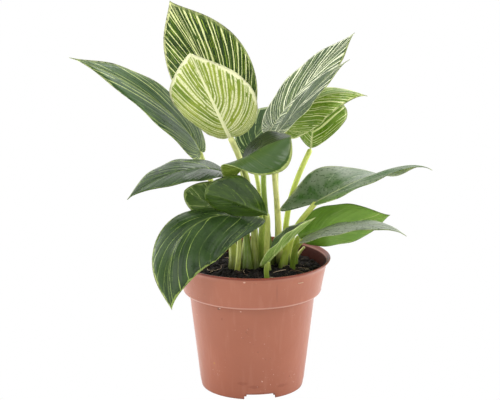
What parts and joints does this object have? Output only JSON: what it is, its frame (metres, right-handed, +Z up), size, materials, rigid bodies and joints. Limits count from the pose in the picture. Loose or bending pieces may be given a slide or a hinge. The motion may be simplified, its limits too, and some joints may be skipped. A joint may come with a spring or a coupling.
{
  "type": "potted birkin philodendron",
  "caption": "Small leafy house plant with dark green blades striped in pale cream on upright stalks, growing in a round terracotta-coloured nursery pot.",
  "frame": {"origin": "on the pot axis, at the plane the pot stands on", "axes": "+Z up along the pot axis, the front of the plant towards -Y, its right towards +X"},
  "size_m": [0.269, 0.124, 0.293],
  "materials": {
    "blade": "waxy semi-gloss leaf, dark green with cream stripes",
    "blade_pale": "pale leaf underside, lime with cream stripes",
    "blade_plain": "plain bright green leaf underside",
    "stalk": "smooth, yellow-green",
    "soil": "rough, dark, crumbly",
    "pot": "smooth moulded plastic with a soft sheen"
  },
  "bodies": {
    "root": {"tall_back_blade": "blade", "tall_back_stalk": "stalk", "pale_back_blade": "blade_pale", "pale_back_stalk": "stalk", "left_long_blade": "blade", "left_long_stalk": "stalk", "left_mid_blade": "blade", "left_mid_stalk": "stalk", "left_small_blade": "blade", "left_small_stalk": "stalk", "centre_turned_blade": "blade", "centre_turned_stalk": "stalk", "front_drooping_blade": "blade", "front_drooping_stalk": "stalk", "centre_arched_blade": "blade", "centre_arched_stalk": "stalk", "inner_dark_blade": "blade", "inner_dark_stalk": "stalk", "right_tall_blade": "blade", "right_tall_stalk": "stalk", "right_narrow_blade": "blade", "right_narrow_stalk": "stalk", "right_upper_blade": "blade", "right_upper_stalk": "stalk", "right_small_blade": "blade", "right_small_stalk": "stalk", "right_long_blade": "blade", "right_long_stalk": "stalk", "right_low_plain_blade": "blade_plain", "right_low_plain_stalk": "stalk", "right_low_narrow_blade": "blade", "right_low_narrow_stalk": "stalk", "front_folded_blade": "blade", "front_folded_stalk": "stalk", "young_sheath": "stalk", "sprout": "stalk", "soil": "soil", "pot": "pot"}
  },
  "joints": []
}
